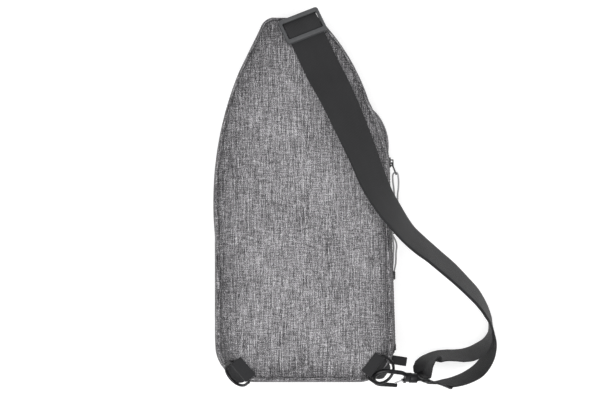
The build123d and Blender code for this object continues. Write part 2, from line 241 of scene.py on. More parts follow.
def plasticMaterial(name, dark, light, rough):
    # Fine spark-eroded grain, with the tone a little uneven
    tree = Tree(name)
    place = objectMap(tree)
    grain = noiseValue(tree, place, 2600.0, 2.0, 0.6)
    patch = noiseValue(tree, place, 90.0, 2.0, 0.5, 2.0)
    tone = 0.5 + (grain - 0.5) * 0.5 + (patch - 0.5) * 0.5
    colour = tree.colour([(0.2, dark), (0.8, light)], tone)
    normal = bump(tree, grain, 0.25, 120 * micron)
    return finishShader(tree, colour, rough + (patch - 0.5) * 0.12, normal, {"Specular IOR Level": 0.5})


def metalMaterial(name, dark, light, rough, metallic):
    # Coated or bare metal, with rubbed patches a little smoother
    tree = Tree(name)
    place = objectMap(tree)
    rub = noiseValue(tree, place, 260.0, 3.0, 0.6)
    speck = noiseValue(tree, place, 1900.0, 2.0, 0.5, 6.0)
    colour = tree.colour([(0.3, dark), (0.75, light)], rub)
    normal = bump(tree, speck, 0.15, 100 * micron)
    return finishShader(tree, colour, rough + (rub - 0.5) * 0.2, normal, {"Metallic": metallic})


def cordMaterial(name, dark, light):
    # Braided cord: two sets of strands wind opposite ways
    tree = Tree(name)
    place = objectMap(tree)
    x, y, z = tree.parts(place)
    turn = 2 * math.pi / strandPitch
    braid = ((x + y + z) * turn).sine() * ((y - x - z) * turn).sine()
    fuzz = noiseValue(tree, place, 2400.0, 2.0, 0.6)
    colour = tree.colour([(0.1, dark), (0.85, light)], 0.5 + braid * 0.3 + (fuzz - 0.5) * 0.6)
    normal = bump(tree, braid * 0.6 + fuzz * 0.4, 0.5, 300 * micron)
    return finishShader(tree, colour, 0.8 + (fuzz - 0.5) * 0.1, normal, {"Sheen Weight": 0.2})


heather = heatherMaterial("heatherCloth", 0.0)
# A darker copy of the cloth for the sloping corner patches: painted shade
heatherShade = heatherMaterial("heatherClothPaintedShade", -0.05)
strapWeb = webbingMaterial("strapWebbing", (0.010, 0.010, 0.0107), (0.036, 0.036, 0.038), 1.5 * mm)
tabWeb = webbingMaterial("tabWebbing", (0.008, 0.008, 0.009), (0.026, 0.026, 0.028), 1.2 * mm)
tapeCloth = webbingMaterial("zipTapeCloth", (0.012, 0.012, 0.013), (0.04, 0.04, 0.042), 0.8 * mm)
liningCloth = webbingMaterial("liningCloth", (0.05, 0.05, 0.053), (0.11, 0.11, 0.115), 0.5 * mm)
gliderPlastic = plasticMaterial("gliderPlastic", (0.055, 0.057, 0.06), (0.105, 0.107, 0.111), 0.45)
tipPlastic = plasticMaterial("tipPlastic", (0.02, 0.02, 0.021), (0.04, 0.04, 0.042), 0.5)
coilNylon = plasticMaterial("coilNylon", (0.014, 0.014, 0.015), (0.035, 0.035, 0.037), 0.4)
blackMetal = metalMaterial("blackCoating", (0.010, 0.010, 0.011), (0.03, 0.03, 0.032), 0.32, 0.6)
springSteel = metalMaterial("springSteel", (0.35, 0.35, 0.36), (0.62, 0.62, 0.63), 0.3, 1.0)
cordBraid = cordMaterial("cordBraid", (0.14, 0.14, 0.145), (0.62, 0.62, 0.63))
foamSkin = plasticMaterial("foamSkin", (0.03, 0.03, 0.03), (0.06, 0.06, 0.06), 0.9)
stitchThread = cordMaterial("stitchThread", (0.02, 0.02, 0.021), (0.09, 0.09, 0.093))
print("materials made")


def inScene(name, data):
    piece = bpy.data.objects.new(name, data)
    bpy.context.scene.collection.objects.link(piece)
    return piece


def newPiece(name, verts, faces, material, uvs=None, smooth=True):
    mesh = bpy.data.meshes.new(name)
    mesh.from_pydata([tuple(v) for v in verts], [], [tuple(f) for f in faces])
    mesh.validate()
    piece = inScene(name, mesh)
    mesh.materials.append(material)
    if uvs is not None:
        layer = mesh.uv_layers.new(name="weave")
        flat = np.array([uvs[loop.vertex_index] for loop in mesh.loops], np.float32)
        layer.data.foreach_set("uv", flat.ravel())
    if smooth:
        mesh.polygons.foreach_set("use_smooth", [True] * len(mesh.polygons))
    return piece


def applyModifiers(piece):
    graph = bpy.context.evaluated_depsgraph_get()
    mesh = bpy.data.meshes.new_from_object(piece.evaluated_get(graph))
    piece.modifiers.clear()
    piece.data = mesh
    return piece


def attach(piece, body, slotName, *replaced):
    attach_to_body(piece, body)
    if replaced:
        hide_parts(*replaced)
    return piece


def arcThrough(a, b, c, count):
    # Points from a to c on the circle through a, b and c, without c
    (ax, ay), (bx, by), (cx, cy) = a, b, c
    d = 2 * (ax * (by - cy) + bx * (cy - ay) + cx * (ay - by))
    a2, b2, c2 = ax * ax + ay * ay, bx * bx + by * by, cx * cx + cy * cy
    ux = (a2 * (by - cy) + b2 * (cy - ay) + c2 * (ay - by)) / d
    uy = (a2 * (cx - bx) + b2 * (ax - cx) + c2 * (bx - ax)) / d
    start = math.atan2(ay - uy, ax - ux)
    middle = math.atan2(by - uy, bx - ux)
    end = math.atan2(cy - uy, cx - ux)
    radius = math.hypot(ax - ux, ay - uy)
    if (middle - start) % (2 * math.pi) > (end - start) % (2 * math.pi):
        sweep = -((start - end) % (2 * math.pi))
    else:
        sweep = (end - start) % (2 * math.pi)
    angles = [start + sweep * i / count for i in range(count)]
    return [(ux + radius * math.cos(t), uy + radius * math.sin(t)) for t in angles]


def straight(a, b, count):
    return [(a[0] + (b[0] - a[0]) * i / count, a[1] + (b[1] - a[1]) * i / count) for i in range(count)]


def resampleLoop(points, count):
    ring = np.array(points + [points[0]], float)
    steps = np.linalg.norm(np.diff(ring, axis=0), axis=1)
    along = np.concatenate([[0], np.cumsum(steps)])
    wanted = np.linspace(0, along[-1], count, endpoint=False)
    xs = np.interp(wanted, along, ring[:, 0])
    ys = np.interp(wanted, along, ring[:, 1])
    return np.stack([xs, ys], 1), along[-1]


bagShape = {
    "bottom": -193.0, "tip": 193.5, "left": -94.4, "right": 94.6, "corner": 36.0, "zipTop": (88.0, 45.0),
    "backTop": 76.0, "backBend": 30.0, "backRadius": 496.7, "slope": 48.0,
    "mainFront": 26.0, "frontBend": 105.0, "tipFront": 35.0,
}
seams = {
    "right": ((69.9, -172.1), (0.8, -0.6)),
    "left": ((-62.2, -176.3), (-0.757, -0.654)),
}
pocketProfile = [
    (-200, 14), (-196, 8), (-191, 4), (-186, 1.6), (-178, 0.3), (-170, 0), (-110, 0), (-104, 0.7),
    (-92, 5.0), (-86, 6), (-26, 6), (-22, 5.0), (-13, 0.6), (-9, 0), (58, 0), (68, 0.6), (80, 2.6),
    (90, 5.0), (100, 9.0), (108, 14.0),
]


def cornerPoints():
    s = bagShape
    k = s["corner"] * math.sqrt(0.5)
    cy = s["bottom"] + s["corner"]
    lx, rx = s["left"] + s["corner"], s["right"] - s["corner"]
    ring = arcThrough((s["left"], cy), (lx - k, cy - k), (lx, s["bottom"]), 40)
    ring += straight((lx, s["bottom"]), (rx, s["bottom"]), 60)
    return ring + arcThrough((rx, s["bottom"]), (rx + k, cy - k), (s["right"], cy), 40)


def mainOutline():
    s = bagShape
    cy = s["bottom"] + s["corner"]
    ring = cornerPoints()
    ring += straight((s["right"], cy), s["zipTop"], 120)
    ring += arcThrough(s["zipTop"], (79.7, 76.0), (68.0, 104.0), 40)
    ring += arcThrough((68.0, 104.0), (46.0, 153.0), (15.0, s["tip"]), 60)
    ring += straight((15.0, s["tip"]), (-34.0, s["tip"]), 30)
    ring += arcThrough((-34.0, s["tip"]), (-41.5, 190.0), (-46.5, 183.0), 16)
    ring += straight((-46.5, 183.0), (-69.0, 136.0), 30)
    ring += arcThrough((-69.0, 136.0), (-89.9, 64.0), (s["left"], -40.0), 90)
    ring += straight((s["left"], -40.0), (s["left"], cy), 70)
    return ring


def pocketOutline():
    s = bagShape
    cy = s["bottom"] + s["corner"]
    ring = cornerPoints()
    ring += straight((s["right"], cy), (89.5, 45.0), 120)
    ring += arcThrough((89.5, 45.0), (86.5, 78.0), (72.0, 98.0), 40)
    ring += arcThrough((72.0, 98.0), (0.0, 107.0), (-80.0, 98.0), 80)
    ring += arcThrough((-80.0, 98.0), (-91.2, 30.0), (s["left"], -40.0), 80)
    ring += straight((s["left"], -40.0), (s["left"], cy), 70)
    return ring


def loopNormals(ring):
    ahead = np.roll(ring, -1, 0) - np.roll(ring, 1, 0)
    ahead /= np.linalg.norm(ahead, axis=1)[:, None]
    return np.stack([ahead[:, 1], -ahead[:, 0]], 1)


def smoothLoop(values, passes):
    for i in range(passes):
        values = (np.roll(values, 1, 0) + values * 2 + np.roll(values, -1, 0)) / 4
    return values


def backHeight(y):
    r = bagShape["backRadius"]
    d = np.clip(np.asarray(y, float) - bagShape["backBend"], 0, 200)
    return bagShape["backTop"] - (r - np.sqrt(r * r - d * d))


def frontHeight(y):
    s = bagShape
    t = np.clip((np.asarray(y, float) - s["frontBend"]) / (200 - s["frontBend"]), 0, 1)
    return s["mainFront"] + (s["tipFront"] - s["mainFront"]) * t


def slopeHeight(x, y):
    # The two bottom corners slope away beyond their diagonal seams
    fall = math.tan(math.radians(bagShape["slope"]))
    height = np.full(np.shape(x), 200.0)
    for (sx, sy), (ox, oy) in seams.values():
        d = (np.asarray(x) - sx) * ox + (np.asarray(y) - sy) * oy
        height = np.minimum(height, bagShape["backTop"] - d * fall)
    return height


def pocketHeight(y):
    # The pocket's front falls away at both ends and dips along its zip
    places, heights = zip(*pocketProfile)
    return np.interp(y, places, heights)


stageLook = {
    "camera": (-0.0047, -0.001, 1.6), "lens": 87.6, "sensor": 36.0, "sky": 0.38,
    "floorTone": 0.55, "floorGlow": 0.62, "floorReach": 6.0, "floorGap": 0.2 * mm,
}
lampLook = {
    "overhead": {"place": (-0.1, -0.55, 1.9), "size": 2.0, "energy": 40.0},
    "side": {"place": (1.3, 0.1, 1.2), "size": 1.0, "energy": 2.5},
    "left": {"place": (-1.3, 0.2, 1.2), "size": 1.0, "energy": 2.5},
}


def makeCamera():
    camera = inScene("camera", bpy.data.cameras.new("camera"))
    camera.location = stageLook["camera"]
    camera.data.lens = stageLook["lens"]
    camera.data.sensor_width = stageLook["sensor"]
    bpy.context.scene.camera = camera


def makeLights():
    world = bpy.data.worlds.new("studio")
    bpy.context.scene.world = world
    world.use_nodes = True
    background = world.node_tree.nodes["Background"]
    background.inputs["Color"].default_value = (1.0, 1.0, 1.0, 1.0)
    background.inputs["Strength"].default_value = stageLook["sky"]
    for name, look in lampLook.items():
        light = bpy.data.lights.new(name, "AREA")
        light.size = look["size"]
        light.energy = look["energy"]
        lamp = inScene(name, light)
        lamp.location = look["place"]
        lamp.rotation_euler = (-Vector(look["place"])).to_track_quat("-Z", "Y").to_euler()


def makeFloor():
    # A white sheet just under the object, with a little light of its own
    low, high = cadBox
    reach = stageLook["floorReach"]
    level = low.z - stageLook["floorGap"]
    corners = [(x * reach, y * reach, level) for x, y in ((-1, -1), (1, -1), (1, 1), (-1, 1))]
    tree = Tree("paperFloor")
    soft = noiseValue(tree, objectMap(tree), 3.0, 2.0, 0.5)
    tone = stageLook["floorTone"]
    colour = tree.colour([(0.0, (tone - 0.01,) * 3), (1.0, (tone + 0.01,) * 3)], soft)
    paper = finishShader(tree, colour, 0.9, None, {
        "Specular IOR Level": 0.1, "Emission Color": (1.0, 1.0, 1.0, 1.0),
        "Emission Strength": stageLook["floorGlow"]})
    newPiece("floor", corners, [(0, 1, 2, 3)], paper, smooth=False)


makeCamera()
makeLights()
makeFloor()
print("stage made")


cordLook = {"radius": 0.9 * mm, "mainLength": 79.6 * mm, "pocketLength": 92.2 * mm}

mainPullRoute = [
    (100.4, -5.5, 33.0), (99.6, 3, 34.6), (100.6, 11.5, 39.0), (100.4, 20.5, 45.0),
    (99.0, 28.6, 49.6), (93.9, 27.6, 49.6), (93.9, 20.5, 45.4), (95.6, 11.5, 38.8),
    (96.6, 3, 34.4), (97.6, -5.5, 32.6),
]
pocketPullRoute = [
    (98.4, -79, 1.9), (100.6, -70, 1.9), (100.2, -60, 1.7), (101.6, -50, 2.0), (98.6, -42.5, 1.8),
    (96.0, -38.6, 1.7), (95.8, -35.0, 1.5), (95.8, -35.0, 5.5), (96.2, -41.0, 5.0),
    (98.0, -50.5, 3.9), (97.4, -60, 2.9), (97.2, -70, 1.9), (96.2, -79, 1.9),
]


def pullCord(name, route, body, node):
    curve = bpy.data.curves.new(name, "CURVE")
    curve.dimensions = "3D"
    spline = curve.splines.new("NURBS")
    spline.points.add(len(route) - 1)
    for point, place in zip(spline.points, route):
        point.co = (place[0] * mm, place[1] * mm, place[2] * mm, 1.0)
    spline.order_u = 3
    spline.use_endpoint_u = True
    spline.resolution_u = 10
    curve.bevel_depth = cordLook["radius"]
    curve.bevel_resolution = 5
    curve.use_fill_caps = True
    curve.materials.append(cordBraid)
    return attach(inScene(name, curve), body, "cord", node)


mainCord = pullCord("mainPullCord", mainPullRoute, "main_puller", "main_pull_cord")
pocketCord = pullCord("pocketPullCord", pocketPullRoute, "pocket_puller", "pocket_pull_cord")
print("cords made")


class Pattern:
    # A Geometry Nodes tree that sets a small solid along every edge path of its mesh
    def __init__(self, name):
        self.tree = bpy.data.node_groups.new(name, "GeometryNodeTree")
        face = self.tree.interface
        face.new_socket("Geometry", in_out="INPUT", socket_type="NodeSocketGeometry")
        for label in ("Pitch", "Long", "Wide", "High"):
            face.new_socket(label, in_out="INPUT", socket_type="NodeSocketFloat")
        face.new_socket("Facing", in_out="INPUT", socket_type="NodeSocketVector")
        face.new_socket("Finish", in_out="INPUT", socket_type="NodeSocketMaterial")
        face.new_socket("Geometry", in_out="OUTPUT", socket_type="NodeSocketGeometry")
        self.wire()

    def add(self, kind, settings=None, inputs=None):
        made = self.tree.nodes.new(kind)
        for name, value in (settings or {}).items():
            setattr(made, name, value)
        for name, value in (inputs or {}).items():
            if isinstance(value, bpy.types.NodeSocket):
                self.tree.links.new(value, made.inputs[name])
            else:
                made.inputs[name].default_value = value
        return made

    def wire(self):
        given = self.add("NodeGroupInput").outputs
        curve = self.add("GeometryNodeMeshToCurve", None, {"Mesh": given["Geometry"]})
        points = self.add("GeometryNodeCurveToPoints", {"mode": "LENGTH"}, {
            "Curve": curve.outputs[0], "Length": given["Pitch"]})
        bead = self.add("GeometryNodeMeshUVSphere", None, {"Segments": 6, "Rings": 4, "Radius": 0.5})
        size = self.add("ShaderNodeCombineXYZ", None, {
            "X": given["Long"], "Y": given["Wide"], "Z": given["High"]})
        shaped = self.add("GeometryNodeTransform", None, {
            "Geometry": bead.outputs["Mesh"], "Scale": size.outputs[0]})
        ahead = self.add("FunctionNodeAlignRotationToVector", {"axis": "X"}, {
            "Vector": points.outputs["Tangent"]})
        upright = self.add("FunctionNodeAlignRotationToVector", {"axis": "Z", "pivot_axis": "X"}, {
            "Rotation": ahead.outputs[0], "Vector": given["Facing"]})
        placed = self.add("GeometryNodeInstanceOnPoints", None, {
            "Points": points.outputs["Points"], "Instance": shaped.outputs[0],
            "Rotation": upright.outputs[0]})
        real = self.add("GeometryNodeRealizeInstances", None, {"Geometry": placed.outputs[0]})
        finished = self.add("GeometryNodeSetMaterial", None, {
            "Geometry": real.outputs[0], "Material": given["Finish"]})
        self.add("NodeGroupOutput", None, {"Geometry": finished.outputs[0]})

    def run(self, name, paths, settings, finish):
        verts = []
        edges = []
        for path in paths:
            first = len(verts)
            verts += [Vector(p) * mm for p in path]
            edges += [(first + i, first + i + 1) for i in range(len(path) - 1)]
        mesh = bpy.data.meshes.new(name)
        mesh.from_pydata(verts, edges, [])
        piece = inScene(name, mesh)
        modifier = piece.modifiers.new("pattern", "NODES")
        modifier.node_group = self.tree
        values = dict(settings, Finish=finish)
        for item in self.tree.interface.items_tree:
            if item.in_out == "INPUT" and item.name in values:
                modifier[item.identifier] = values[item.name]
        applyModifiers(piece)
        piece.data.polygons.foreach_set("use_smooth", [True] * len(piece.data.polygons))
        return piece


beads = Pattern("beadsOnPath")
threadLook = {
    "Pitch": 3.1 * mm, "Long": 2.6 * mm, "Wide": 0.55 * mm, "High": 0.45 * mm, "Facing": (0.0, 0.0, 1.0),
}


def insideLoop(points, ring):
    x, y = points[:, 0], points[:, 1]
    inside = np.zeros(len(points), bool)
    ahead = np.roll(ring, -1, 0)
    for (ax, ay), (bx, by) in zip(ring, ahead):
        if ay == by:
            continue
        crosses = (ay > y) != (by > y)
        inside ^= crosses & (x < (bx - ax) * (y - ay) / (by - ay) + ax)
    return inside


def loopDistance(points, ring):
    ahead = np.roll(ring, -1, 0)
    span = ahead - ring
    length2 = (span ** 2).sum(1)
    best = np.full(len(points), 1e9)
    for i in range(0, len(points), 400):
        part = points[i:i + 400]
        delta = part[:, None, :] - ring[None]
        t = np.clip((delta * span[None]).sum(2) / length2[None], 0, 1)
        gap = delta - t[:, :, None] * span[None]
        best[i:i + 400] = np.sqrt((gap ** 2).sum(2)).min(1)
    return best


def seamDistance(points, name):
    (sx, sy), (ox, oy) = seams[name]
    return (points[:, 0] - sx) * ox + (points[:, 1] - sy) * oy


panelLook = {
    "grid": 3.2, "rows": (0.7, 1.6, 2.8, 4.4, 6.6), "seamRows": (-3.6, -2.0, -0.9, 0.0, 0.9, 2.0, 3.6),
}


def panelPoints(ring, cuts):
    # A ring, rows close inside it and beside each cut, and a grid over the rest
    normals = loopNormals(ring)
    rows = [ring] + [ring - normals * step for step in panelLook["rows"]]
    count = len(ring)
    edges = [(i, (i + 1) % count) for i in range(count)]
    inner = np.concatenate(rows[1:])
    low, high = ring.min(0), ring.max(0)
    step = panelLook["grid"]
    gx, gy = np.meshgrid(np.arange(low[0], high[0], step), np.arange(low[1], high[1], step))
    gx = gx + step / 2 * (np.arange(gx.shape[0]) % 2)[:, None]
    grid = np.stack([gx.ravel(), gy.ravel()], 1)
    grid = grid[insideLoop(grid, ring)]
    grid = grid[loopDistance(grid, ring) > panelLook["rows"][-1] + step * 0.6]
    loose = np.concatenate([inner, grid])
    extra = []
    clear = panelLook["seamRows"][-1] + step * 0.5
    for origin, out in cuts:
        origin, out = np.array(origin), np.array(out)
        along = np.array([-out[1], out[0]])
        gap = (loose - origin) @ out
        loose = loose[np.abs(gap) > clear]
        for offset in panelLook["seamRows"]:
            line = origin + out * offset + np.arange(-220, 220, 2.0)[:, None] * along
            line = line[insideLoop(line, ring)]
            line = line[loopDistance(line, ring) > 0.5]
            extra.append(line)
    points = np.concatenate([ring, loose] + extra)
    made = delaunay_2d_cdt([Vector(p) for p in points], edges, [], 1, 1e-5)
    verts = np.array([tuple(v) for v in made[0]])
    faces = np.array([tuple(f) for f in made[2]])
    a, b, c = verts[faces[:, 0]], verts[faces[:, 1]], verts[faces[:, 2]]
    turn = (b[:, 0] - a[:, 0]) * (c[:, 1] - a[:, 1]) - (b[:, 1] - a[:, 1]) * (c[:, 0] - a[:, 0])
    faces = np.where((turn < 0)[:, None], faces[:, ::-1], faces)
    return verts, faces


def panelPiece(name, verts, faces, heights, keep, up, thick, material, paintedShades=None):
    # The kept faces as a sheet with a thickness, facing up or down, with painted shade per point if given
    chosen = faces[keep]
    used = np.unique(chosen)
    index = np.full(len(verts), -1)
    index[used] = np.arange(len(used))
    chosen = index[chosen]
    if not up:
        chosen = chosen[:, ::-1]
    flat = verts[used]
    solid = np.concatenate([flat, heights[used][:, None]], 1) * mm
    piece = newPiece(name, solid, chosen, material, uvs=flat * mm)
    if paintedShades is not None:
        setPaintedShade(piece, paintedShades[used])
    return thicken(piece, thick)


# Stores the painted shade that darkens the cloth at each point
def setPaintedShade(piece, paintedShades):
    layer = piece.data.attributes.new("seamTone", "FLOAT", "POINT")
    layer.data.foreach_set("value", np.asarray(paintedShades, np.float32))


def thicken(piece, thick):
    modifier = piece.modifiers.new("thickness", "SOLIDIFY")
    modifier.thickness = thick * mm
    modifier.offset = -1.0
    modifier.use_even_offset = False
    return applyModifiers(piece)


def softNoise(points, scale, seed):
    return np.array([noise.noise(Vector((p[0] / scale, p[1] / scale, seed))) for p in points])


ringCount = 560
mainLoop, mainLength = resampleLoop(mainOutline(), ringCount)
pocketLoop, pocketLength = resampleLoop(pocketOutline(), ringCount)
mainNormals = loopNormals(mainLoop)
pocketNormals = loopNormals(pocketLoop)

shellLook = {
    "insetAt": (-193, -150, 40, 150, 194), "insetBy": (6.5, 6.5, 5.0, 3.6, 3.2),
    # shadeAt and shadeReach set how far the painted shade reaches in from the back's seams; sideShade is the
    # painted shade over the side bands
    "shadeAt": (-94, -40, 40, 94), "shadeReach": (17.0, 15.0, 10.0, 8.0), "sideShade": 0.6,
    "frontInset": 3.5, "pocketInset": 4.0, "seamSink": 1.5, "seamReach": 2.6,
    "backThick": 1.8, "sideThick": 1.3, "backDrop": 2.6, "crown": 3.4, "crownReach": 15.0, "ripple": 0.7,
    "grooves": ((1.7, 1.3), (0.6, 5.0)),
    "foamInset": 5.0, "foamGap": 0.4, "foamThick": 3.6, "foamTuck": 3.0,
    "slotHalf": 5.4, "slotTop": 47.0, "slotFoot": -158.5, "zipLevel": 50.0,
    "pocketZip": -35.0, "pocketSlotHalf": 6.0,
}


def backSeamInset():
    # The seam lies a little further in along the lower sides than at the tip
    inset = np.interp(mainLoop[:, 1], shellLook["insetAt"], shellLook["insetBy"])
    return smoothLoop(inset, 20)


backInset = backSeamInset()
backSeam = mainLoop - mainNormals * backInset[:, None]
backSeamHeight = smoothLoop(np.minimum(backHeight(backSeam[:, 1]), slopeHeight(*backSeam.T)), 3)
backSeamHeight -= shellLook["seamSink"] + shellLook["backDrop"]


def onRing(verts, ring, heights, ringHeights):
    # Gives the ring's own points the heights of the seam that they share
    for point, height in zip(ring, ringHeights):
        gap = ((verts - point) ** 2).sum(1)
        nearest = int(gap.argmin())
        if gap[nearest] < 0.01:
            heights[nearest] = height
    return heights


def backSurface(points, ring):
    # The crowned back: it sinks to its seam and into both diagonal seams
    look = shellLook
    d = loopDistance(points, ring)
    base = np.minimum(backHeight(points[:, 1]), slopeHeight(*points.T))
    crown = look["crown"] * (1 - np.exp(-d / look["crownReach"]))
    edge = look["seamSink"] * np.exp(-(d / look["seamReach"]) ** 1.5)
    groove = np.zeros(len(points))
    for name in seams:
        gap = np.abs(seamDistance(points, name))
        groove += sum(deep * np.exp(-(gap / wide) ** 2) for deep, wide in look["grooves"])
    ripple = softNoise(points, 30.0, 1.5) * look["ripple"] * np.clip(d / 10, 0, 1)
    return base - look["backDrop"] + crown - edge - groove + ripple


def backPanel():
    cuts = [seams["right"], seams["left"]]
    verts, faces = panelPoints(backSeam, cuts)
    heights = onRing(verts, backSeam, backSurface(verts, backSeam), backSeamHeight)
    middle = verts[faces].mean(1)
    right = seamDistance(middle, "right") > 0
    left = seamDistance(middle, "left") > 0
    thick = shellLook["backThick"]
    # Painted shade: the cloth darkens towards its seams, over a reach that narrows from left to right
    d = loopDistance(verts, backSeam)
    reach = np.interp(verts[:, 0], shellLook["shadeAt"], shellLook["shadeReach"])
    paintedShades = np.exp(-d / reach) * 0.95
    panel = panelPiece("backPanel", verts, faces, heights, ~(right | left), True, thick, heather, paintedShades)
    attach(panel, "bag", "heather_fabric", "back_panel_outer")
    for name, keep, node in (
        ("cornerPatchRight", right, "corner_patch_right"), ("cornerPatchLeft", left, "corner_patch_left"),
    ):
        patch = panelPiece(name, verts, faces, heights, keep, True, thick, heatherShade, paintedShades)
        attach(patch, "bag", "heather_fabric", node)


def backFoam():
    # The foam lies just under the panel's cloth and stops short of its seams
    look = shellLook
    ring = backSeam - loopNormals(backSeam) * look["foamInset"]
    verts, faces = panelPoints(ring, [])
    tuck = look["foamTuck"] * np.exp(-(loopDistance(verts, ring) / look["foamTuck"]) ** 2)
    heights = backSurface(verts, backSeam) - look["backThick"] - look["foamGap"] - tuck
    piece = panelPiece("backFoam", verts, faces, heights, slice(None), True, look["foamThick"], foamSkin)
    attach(piece, "bag", "foam", "back_panel_foam")


backPanel()
backFoam()
print("back panel made")


class Rows:
    # Closed rows of points, each a distance out from one loop and at its own height
    def __init__(self, loop, normals):
        self.loop = loop
        self.normals = normals
        self.points = []
        self.across = []

    def add(self, outward, z, place):
        out = np.broadcast_to(outward, len(self.loop))
        flat = self.loop + self.normals * out[:, None]
        self.points.append(np.concatenate([flat, z[:, None]], 1))
        self.across.append(place)

    def kept(self):
        return np.ones((len(self.points) - 1, len(self.loop)), bool)


def bandMesh(name, rows, keep, length):
    # Quads between closed rows of points, facing outwards
    acrossAt = rows.across
    alongAt = np.linspace(0, length, len(rows.loop) + 1)
    points = np.array(rows.points)
    depth, count = points.shape[:2]
    verts = points.reshape(-1, 3) * mm
    faces = []
    corners = []
    for i in range(depth - 1):
        for j in range(count):
            k = (j + 1) % count
            if not keep[i, j]:
                continue
            faces.append((i * count + j, (i + 1) * count + j, (i + 1) * count + k, i * count + k))
            vk = alongAt[j + 1]
            corners += [(acrossAt[i], alongAt[j]), (acrossAt[i + 1], alongAt[j]),
                        (acrossAt[i + 1], vk), (acrossAt[i], vk)]
    mesh = bpy.data.meshes.new(name)
    mesh.from_pydata([tuple(v) for v in verts], [], faces)
    layer = mesh.uv_layers.new(name="weave")
    layer.data.foreach_set("uv", (np.array(corners, np.float32) * mm).ravel())
    mesh.polygons.foreach_set("use_smooth", [True] * len(faces))
    mesh.materials.append(heather)
    work = bmesh.new()
    work.from_mesh(mesh)
    loose = [v for v in work.verts if not v.link_faces]
    bmesh.ops.delete(work, geom=loose, context="VERTS")
    work.to_mesh(mesh)
    work.free()
    piece = inScene(name, mesh)
    middle = Vector((0, 0, 0.04))
    facing = sum((f.center - middle).to_2d().dot(f.normal.to_2d()) for f in mesh.polygons)
    if facing < 0:
        mesh.flip_normals()
    # Painted shade: the whole band is darkened evenly
    setPaintedShade(piece, [shellLook["sideShade"]] * len(mesh.vertices))
    return thicken(piece, shellLook["sideThick"])


def quarter(count):
    # Fractions round a quarter turn, from the seam to the side
    angles = [math.pi / 2 * i / count for i in range(count + 1)]
    return [(math.sin(angle), 1 - math.cos(angle)) for angle in angles]


def sideBand():
    look = shellLook
    y = mainLoop[:, 1]
    zBack = backSeamHeight + 0.9
    zFront = frontHeight(y)
    tall = zBack - zFront
    shoulder = np.minimum(13.0, tall * 0.42)
    heel = np.minimum(9.0, tall * 0.3)
    onZip = (mainLoop[:, 0] > 0) & (y < look["slotTop"]) & (y > look["slotFoot"])
    zipWeight = np.clip(smoothLoop(onZip.astype(float), 60) * 1.6, 0, 1)
    lip = smoothLoop(onZip.astype(float), 3)
    high = (zBack - shoulder) * 0.55 + (zFront + heel) * 0.45
    low = (zBack - shoulder) * 0.45 + (zFront + heel) * 0.55
    slotHigh = high * (1 - zipWeight) + (look["zipLevel"] + look["slotHalf"]) * zipWeight
    slotLow = low * (1 - zipWeight) + (look["zipLevel"] - look["slotHalf"]) * zipWeight
    bulge = 0.1 + 1.6 * zipWeight
    wave = smoothLoop(softNoise(mainLoop, 26.0, 4.0), 4)
    rows = Rows(mainLoop, mainNormals)
    rows.add(-backInset, backSeamHeight, -2)
    rows.add(-backInset + 0.7, backSeamHeight + 0.6, -1)
    start = backInset - 1.5
    for x, drop in quarter(7):
        rows.add(-start * (1 - x) + bulge * 0.35 * x, zBack - shoulder * drop, drop * 14)
    top = zBack - shoulder
    for f in (0.3, 0.6, 0.85):
        swell = 0.35 + 0.65 * math.sin(f * math.pi / 2)
        rows.add(bulge * swell + wave * 0.7 * (1 - zipWeight), top + (slotHigh + 1.4 - top) * f, 14 + f * 10)
    rows.add(bulge + 0.1 * lip, slotHigh + 0.8, 25)
    rows.add(bulge - 0.5 * lip, slotHigh + 0.1, 26)
    rows.add(bulge - 1.5 * lip, slotHigh + 0.3 * lip, 27)
    gapRow = len(rows.points) - 1
    rows.add(bulge - 1.5 * lip, slotLow - 0.3 * lip, 37)
    rows.add(bulge - 0.5 * lip, slotLow - 0.1, 38)
    rows.add(bulge + 0.1 * lip, slotLow - 0.8, 39)
    foot = zFront + heel
    for f in (0.15, 0.4, 0.7):
        swell = 1 - 0.65 * f * f
        z = slotLow - 1.4 + (foot - slotLow + 1.4) * f
        rows.add(bulge * swell + wave * 0.7 * (1 - zipWeight), z, 40 + f * 10)
    for x, drop in reversed(quarter(5)):
        rows.add(bulge * 0.35 * x - look["frontInset"] * (1 - x), zFront + heel * drop, 62 - drop * 10)
    keep = rows.kept()
    keep[gapRow] = ~(onZip & np.roll(onZip, -1))
    band = bandMesh("sideBand", rows, keep, mainLength)
    attach(band, "bag", "heather_fabric", "gusset_bottom", "gusset_left", "gusset_upper_right",
           "zip_gusset_back_strip", "zip_gusset_front_strip")
    return rows.points, gapRow, onZip


sideRows, sideGap, onZip = sideBand()
print("side band made")


pocketSeam = pocketLoop - pocketNormals * shellLook["pocketInset"]
pocketSeamHeight = smoothLoop(pocketHeight(pocketSeam[:, 1]), 6) + 1.9


